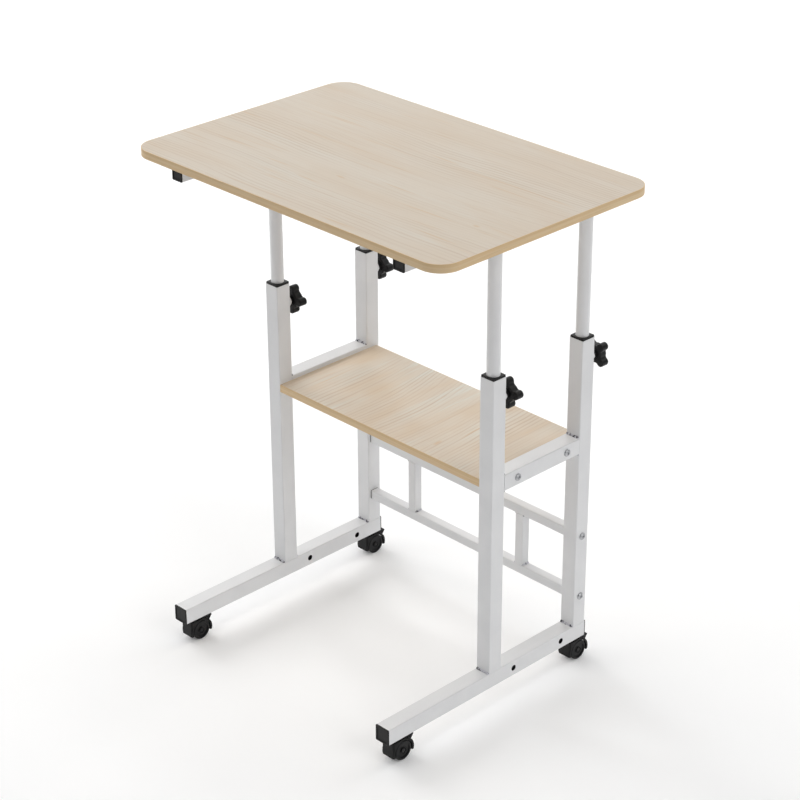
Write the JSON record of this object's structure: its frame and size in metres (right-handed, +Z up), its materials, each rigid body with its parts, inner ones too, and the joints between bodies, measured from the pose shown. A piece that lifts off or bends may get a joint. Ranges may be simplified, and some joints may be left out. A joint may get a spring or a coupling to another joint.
{
  "type": "rolling laptop desk",
  "caption": "Rolling laptop desk: wooden top on telescoping tubes in square steel posts, clamped by star knobs, with a low shelf, a back brace and braked castors.",
  "frame": {"origin": "on the floor, under the middle of the desk's outer box", "axes": "+Z up, -Y towards the user, +X to the user's right"},
  "size_m": [0.6, 0.4256, 0.76],
  "materials": {
    "wood_laminate": "matt pale maple-grain laminate on particle board",
    "edge_band": "tan wood-grain edge banding",
    "white_powder_coat": "satin white powder coat on steel tube",
    "black_plastic": "fine-textured moulded black plastic",
    "wheel_nylon": "smooth black nylon",
    "zinc_steel": "bright zinc-plated steel",
    "black_steel": "blackened steel"
  },
  "bodies": {
    "base": {"post_front_left": "white_powder_coat", "post_front_right": "white_powder_coat", "post_rear_left": "white_powder_coat", "post_rear_right": "white_powder_coat", "foot_left": "white_powder_coat", "foot_right": "white_powder_coat", "mid_rail_left": "white_powder_coat", "mid_rail_right": "white_powder_coat", "back_upper_bar": "white_powder_coat", "back_lower_bar": "white_powder_coat", "back_uprights": "white_powder_coat", "clamp_nuts": "white_powder_coat", "shelf": "wood_laminate", "shelf_edge_bands": "edge_band", "tube_bushes": "black_plastic", "foot_end_caps": "black_plastic", "bar_end_inserts": "black_plastic", "shelf_bolts": "zinc_steel", "shelf_barrel_nuts": "zinc_steel", "back_brace_bolts": "zinc_steel", "castor_stems": "zinc_steel", "castor_nuts": "zinc_steel"},
    "top": {"tabletop": "wood_laminate", "tabletop_edge_band": "edge_band", "top_rail_left": "white_powder_coat", "top_rail_right": "white_powder_coat", "inner_tube_front_left": "white_powder_coat", "inner_tube_front_right": "white_powder_coat", "inner_tube_rear_left": "white_powder_coat", "inner_tube_rear_right": "white_powder_coat", "top_rail_end_caps": "black_plastic", "tabletop_screws": "zinc_steel"},
    "knob_front_left": {"knob_front_left": "black_plastic", "knob_stud_front_left": "zinc_steel"},
    "knob_front_right": {"knob_front_right": "black_plastic", "knob_stud_front_right": "zinc_steel"},
    "knob_rear_left": {"knob_rear_left": "black_plastic", "knob_stud_rear_left": "zinc_steel"},
    "knob_rear_right": {"knob_rear_right": "black_plastic", "knob_stud_rear_right": "zinc_steel"},
    "castor_front_left": {"castor_front_left_housing": "black_plastic", "castor_front_left_axle": "black_steel"},
    "castor_front_left_left_wheel": {"castor_front_left_left_wheel": "wheel_nylon"},
    "castor_front_left_right_wheel": {"castor_front_left_right_wheel": "wheel_nylon"},
    "castor_front_left_brake_pedal": {"castor_front_left_brake_pedal": "black_plastic"},
    "castor_front_right": {"castor_front_right_housing": "black_plastic", "castor_front_right_axle": "black_steel"},
    "castor_front_right_left_wheel": {"castor_front_right_left_wheel": "wheel_nylon"},
    "castor_front_right_right_wheel": {"castor_front_right_right_wheel": "wheel_nylon"},
    "castor_front_right_brake_pedal": {"castor_front_right_brake_pedal": "black_plastic"},
    "castor_rear_left": {"castor_rear_left_housing": "black_plastic", "castor_rear_left_axle": "black_steel"},
    "castor_rear_left_left_wheel": {"castor_rear_left_left_wheel": "wheel_nylon"},
    "castor_rear_left_right_wheel": {"castor_rear_left_right_wheel": "wheel_nylon"},
    "castor_rear_left_brake_pedal": {"castor_rear_left_brake_pedal": "black_plastic"},
    "castor_rear_right": {"castor_rear_right_housing": "black_plastic", "castor_rear_right_axle": "black_steel"},
    "castor_rear_right_left_wheel": {"castor_rear_right_left_wheel": "wheel_nylon"},
    "castor_rear_right_right_wheel": {"castor_rear_right_right_wheel": "wheel_nylon"},
    "castor_rear_right_brake_pedal": {"castor_rear_right_brake_pedal": "black_plastic"}
  },
  "joints": [
    {"name": "top_height", "type": "slide", "parent": "base", "child": "top", "axis": [0, 0, 1], "range_m": [-0.18, 0.05]},
    {"name": "knob_front_left_turn", "type": "hinge", "parent": "base", "child": "knob_front_left", "pos_m": [-0.216, 0.01025, 0.488], "axis": [0, 1, 0], "range_deg": [0, 540]},
    {"name": "knob_front_right_turn", "type": "hinge", "parent": "base", "child": "knob_front_right", "pos_m": [0.216, 0.01025, 0.488], "axis": [0, 1, 0], "range_deg": [0, 540]},
    {"name": "knob_rear_left_turn", "type": "hinge", "parent": "base", "child": "knob_rear_left", "pos_m": [-0.216, 0.18725, 0.488], "axis": [0, 1, 0], "range_deg": [0, 540]},
    {"name": "knob_rear_right_turn", "type": "hinge", "parent": "base", "child": "knob_rear_right", "pos_m": [0.216, 0.18725, 0.488], "axis": [0, 1, 0], "range_deg": [0, 540]},
    {"name": "castor_front_left_swivel", "type": "hinge", "parent": "base", "child": "castor_front_left", "pos_m": [-0.216, -0.19175, 0.0375], "axis": [0, 0, 1], "continuous": true},
    {"name": "castor_front_left_left_wheel_spin", "type": "hinge", "parent": "castor_front_left", "child": "castor_front_left_left_wheel", "pos_m": [-0.216, -0.18175, 0.015], "axis": [1, 0, 0], "continuous": true},
    {"name": "castor_front_left_right_wheel_spin", "type": "hinge", "parent": "castor_front_left", "child": "castor_front_left_right_wheel", "pos_m": [-0.216, -0.18175, 0.015], "axis": [1, 0, 0], "continuous": true},
    {"name": "castor_front_left_brake", "type": "hinge", "parent": "castor_front_left", "child": "castor_front_left_brake_pedal", "pos_m": [-0.216, -0.17424, 0.033], "axis": [-1, 0, 0], "range_deg": [0, 18]},
    {"name": "castor_front_right_swivel", "type": "hinge", "parent": "base", "child": "castor_front_right", "pos_m": [0.216, -0.19175, 0.0375], "axis": [0, 0, 1], "continuous": true},
    {"name": "castor_front_right_left_wheel_spin", "type": "hinge", "parent": "castor_front_right", "child": "castor_front_right_left_wheel", "pos_m": [0.216, -0.18175, 0.015], "axis": [1, 0, 0], "continuous": true},
    {"name": "castor_front_right_right_wheel_spin", "type": "hinge", "parent": "castor_front_right", "child": "castor_front_right_right_wheel", "pos_m": [0.216, -0.18175, 0.015], "axis": [1, 0, 0], "continuous": true},
    {"name": "castor_front_right_brake", "type": "hinge", "parent": "castor_front_right", "child": "castor_front_right_brake_pedal", "pos_m": [0.216, -0.17424, 0.033], "axis": [-1, 0, 0], "range_deg": [0, 18]},
    {"name": "castor_rear_left_swivel", "type": "hinge", "parent": "base", "child": "castor_rear_left", "pos_m": [-0.216, 0.16825, 0.0375], "axis": [0, 0, 1], "continuous": true},
    {"name": "castor_rear_left_left_wheel_spin", "type": "hinge", "parent": "castor_rear_left", "child": "castor_rear_left_left_wheel", "pos_m": [-0.216, 0.17825, 0.015], "axis": [1, 0, 0], "continuous": true},
    {"name": "castor_rear_left_right_wheel_spin", "type": "hinge", "parent": "castor_rear_left", "child": "castor_rear_left_right_wheel", "pos_m": [-0.216, 0.17825, 0.015], "axis": [1, 0, 0], "continuous": true},
    {"name": "castor_rear_left_brake", "type": "hinge", "parent": "castor_rear_left", "child": "castor_rear_left_brake_pedal", "pos_m": [-0.216, 0.18576, 0.033], "axis": [-1, 0, 0], "range_deg": [0, 18]},
    {"name": "castor_rear_right_swivel", "type": "hinge", "parent": "base", "child": "castor_rear_right", "pos_m": [0.216, 0.16825, 0.0375], "axis": [0, 0, 1], "continuous": true},
    {"name": "castor_rear_right_left_wheel_spin", "type": "hinge", "parent": "castor_rear_right", "child": "castor_rear_right_left_wheel", "pos_m": [0.216, 0.17825, 0.015], "axis": [1, 0, 0], "continuous": true},
    {"name": "castor_rear_right_right_wheel_spin", "type": "hinge", "parent": "castor_rear_right", "child": "castor_rear_right_right_wheel", "pos_m": [0.216, 0.17825, 0.015], "axis": [1, 0, 0], "continuous": true},
    {"name": "castor_rear_right_brake", "type": "hinge", "parent": "castor_rear_right", "child": "castor_rear_right_brake_pedal", "pos_m": [0.216, 0.18576, 0.033], "axis": [-1, 0, 0], "range_deg": [0, 18]}
  ]
}
